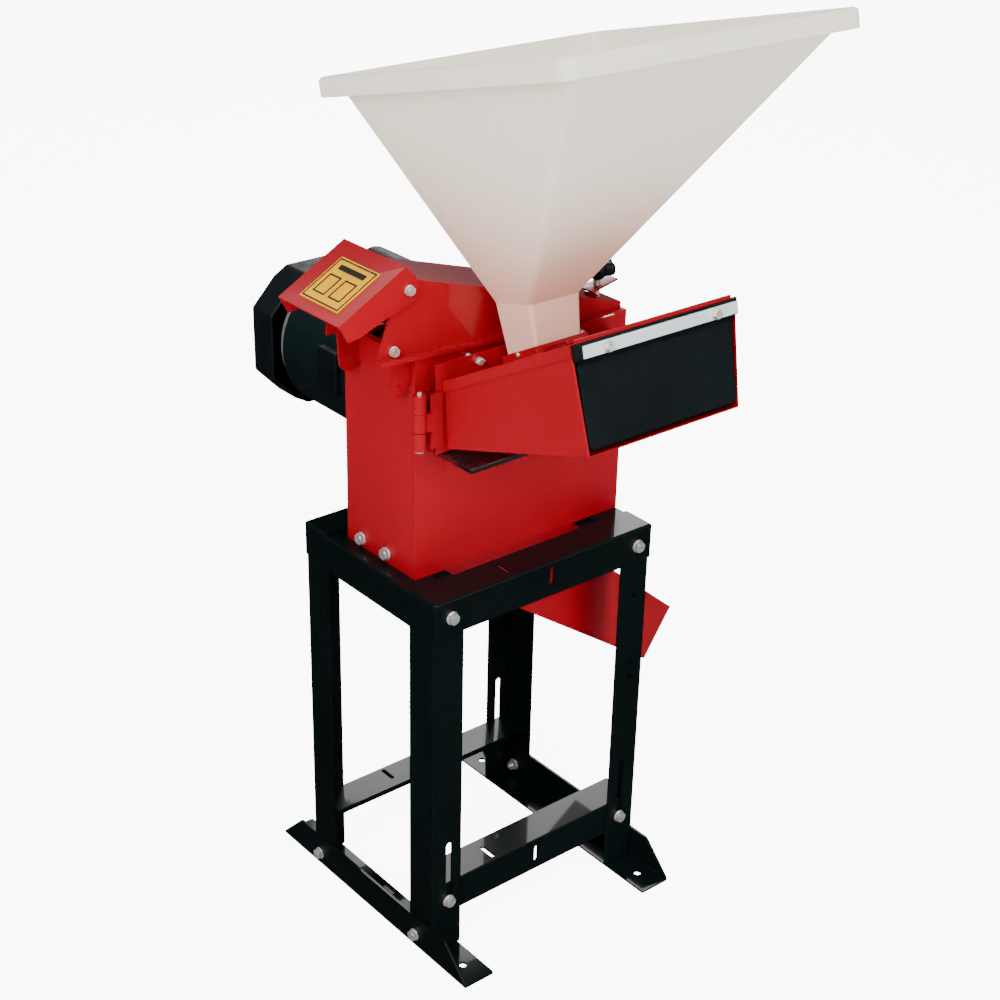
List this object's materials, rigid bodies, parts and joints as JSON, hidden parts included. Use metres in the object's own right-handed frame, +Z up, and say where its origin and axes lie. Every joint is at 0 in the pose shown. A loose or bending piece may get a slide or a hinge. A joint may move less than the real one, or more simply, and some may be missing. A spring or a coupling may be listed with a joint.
{
  "type": "electric forage and grain crusher",
  "caption": "Electric crusher on a bolted angle stand: grain hopper and feed chute on a swing-out door, hammer rotor over a screen, lid with tilting deflector, lower spout, rear motor.",
  "frame": {"origin": "on the floor, under the middle of the whole machine's bounding box", "axes": "+X towards the lower spout, +Y towards the motor (the feed chute faces -Y), +Z up"},
  "size_m": [0.524, 0.6948, 1.1541],
  "materials": {
    "red_paint": "gloss",
    "black_paint": "gloss",
    "motor_paint": "satin",
    "black_plastic": "satin",
    "hopper_plastic": "translucent satin",
    "rubber": "matt",
    "aluminium": "satin",
    "zinc": "zinc plated",
    "steel": "machined",
    "tool_steel": "hardened, ground",
    "cast_aluminium": "as cast",
    "label_yellow": "gloss"
  },
  "bodies": {
    "machine": {"side_frame_left": "black_paint", "side_frame_right": "black_paint", "front_top_rail": "black_paint", "rear_top_rail": "black_paint", "front_lower_rail": "black_paint", "rear_lower_rail": "black_paint", "skid_left": "black_paint", "skid_right": "black_paint", "housing": "red_paint", "outlet_bracket": "red_paint", "screen": "steel", "bed_knife": "tool_steel", "lower_spout": "red_paint", "side_bolt_rear": "zinc", "side_bolt_front": "zinc", "lid": "red_paint", "lid_bolt_near": "zinc", "lid_bolt_far": "zinc", "deflector_bolt_near": "zinc", "deflector_bolt_far": "zinc", "clamp_stud": "zinc", "clamp_plate": "red_paint", "hinge_leaf_fixed": "red_paint", "hinge_pin": "zinc", "motor_shell": "motor_paint", "front_end_shield": "cast_aluminium", "rear_end_shield": "cast_aluminium", "front_bearing": "steel", "rear_bearing": "steel", "stator": "steel", "fan_cowl": "black_plastic", "capacitor_cover": "black_plastic", "terminal_box": "black_plastic", "cable_gland": "black_plastic"},
    "rotor": {"motor_shaft": "steel", "rotor_core": "steel", "cooling_fan": "black_plastic", "crusher_rotor": "steel", "knife_left": "tool_steel", "knife_right": "tool_steel", "rotor_bolt": "zinc"},
    "deflector": {"discharge_deflector": "red_paint", "label_plate": "label_yellow"},
    "knob": {"star_knob": "black_plastic"},
    "door": {"feed_door": "red_paint", "feed_chute": "red_paint", "chute_top": "red_paint", "hopper": "hopper_plastic", "flap_hem": "rubber", "flap_strip": "aluminium", "flap_bolt_left": "zinc", "flap_bolt_right": "zinc"},
    "door_screw_left": {"door_screw_left": "zinc"},
    "door_screw_right": {"door_screw_right": "zinc"},
    "gate": {"hopper_gate": "red_paint"},
    "flap": {"rubber_flap": "rubber"},
    "hammer_set_1": {"hammers_1": "tool_steel"},
    "hammer_set_2": {"hammers_2": "tool_steel"},
    "hammer_set_3": {"hammers_3": "tool_steel"},
    "hammer_set_4": {"hammers_4": "tool_steel"}
  },
  "joints": [
    {"name": "rotor_spin", "type": "hinge", "parent": "machine", "child": "rotor", "pos_m": [-0.018, 0.00742, 0.653], "axis": [0, 1, 0], "continuous": true},
    {"name": "hammer_swing_1", "type": "hinge", "parent": "rotor", "child": "hammer_set_1", "pos_m": [0.0315, 0.00742, 0.7025], "axis": [0, 1, 0], "continuous": true},
    {"name": "hammer_swing_2", "type": "hinge", "parent": "rotor", "child": "hammer_set_2", "pos_m": [-0.0675, 0.00742, 0.7025], "axis": [0, 1, 0], "continuous": true},
    {"name": "hammer_swing_3", "type": "hinge", "parent": "rotor", "child": "hammer_set_3", "pos_m": [-0.0675, 0.00742, 0.6035], "axis": [0, 1, 0], "continuous": true},
    {"name": "hammer_swing_4", "type": "hinge", "parent": "rotor", "child": "hammer_set_4", "pos_m": [0.0315, 0.00742, 0.6035], "axis": [0, 1, 0], "continuous": true},
    {"name": "deflector_tilt", "type": "hinge", "parent": "machine", "child": "deflector", "pos_m": [-0.1713, -0.00108, 0.8494], "axis": [0, 1, 0], "range_deg": [-25, 35]},
    {"name": "knob_turn", "type": "hinge", "parent": "machine", "child": "knob", "pos_m": [0.115, -0.03858, 0.8], "axis": [0, 0, 1], "continuous": true},
    {"name": "door_swing", "type": "hinge", "parent": "machine", "child": "door", "pos_m": [-0.166, -0.06908, 0.6995], "axis": [0, 0, -1], "range_deg": [0, 100]},
    {"name": "door_screw_left_turn", "type": "hinge", "parent": "door", "child": "door_screw_left", "pos_m": [-0.09, -0.07438, 0.7555], "axis": [0, 1, 0], "continuous": true},
    {"name": "door_screw_right_turn", "type": "hinge", "parent": "door", "child": "door_screw_right", "pos_m": [0.058, -0.07438, 0.7535], "axis": [0, 1, 0], "continuous": true},
    {"name": "gate_slide", "type": "slide", "parent": "door", "child": "gate", "axis": [0, -0.8828, 0.4698], "range_m": [0, 0.05]},
    {"name": "flap_swing", "type": "hinge", "parent": "door", "child": "flap", "pos_m": [-0.016, -0.27236, 0.82783], "axis": [1, 0, 0], "range_deg": [0, 60], "stiffness_Nm_per_rad": 0.3, "springref_deg": -1.72}
  ]
}
